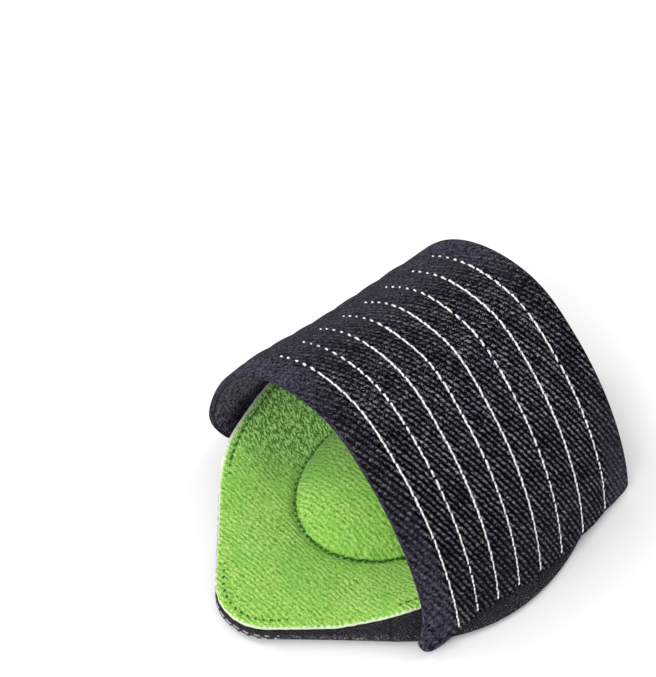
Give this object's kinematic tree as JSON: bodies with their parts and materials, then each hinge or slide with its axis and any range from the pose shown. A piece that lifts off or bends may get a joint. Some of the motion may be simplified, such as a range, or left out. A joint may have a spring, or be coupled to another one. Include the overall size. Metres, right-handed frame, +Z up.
{
  "type": "arch support",
  "caption": "Foot arch support: a green cushioned pad with a raised oval dome on a black base, with a wide charcoal elastic band arched over the instep.",
  "frame": {"origin": "On the floor under the middle of the whole object.", "axes": "+Z is up. Y is the length of the foot, and the open tongue of the pad that shows in the picture is at -Y. X is across the foot."},
  "size_m": [0.0936, 0.1208, 0.0576],
  "materials": {
    "elastic": "charcoal elastic twill with rows of white thread",
    "plush": "short green plush over foam",
    "underside": "matt black woven cloth"
  },
  "bodies": {
    "root": {"instep_band": "elastic", "pad_top": "plush", "pad_base": "underside"}
  },
  "joints": []
}
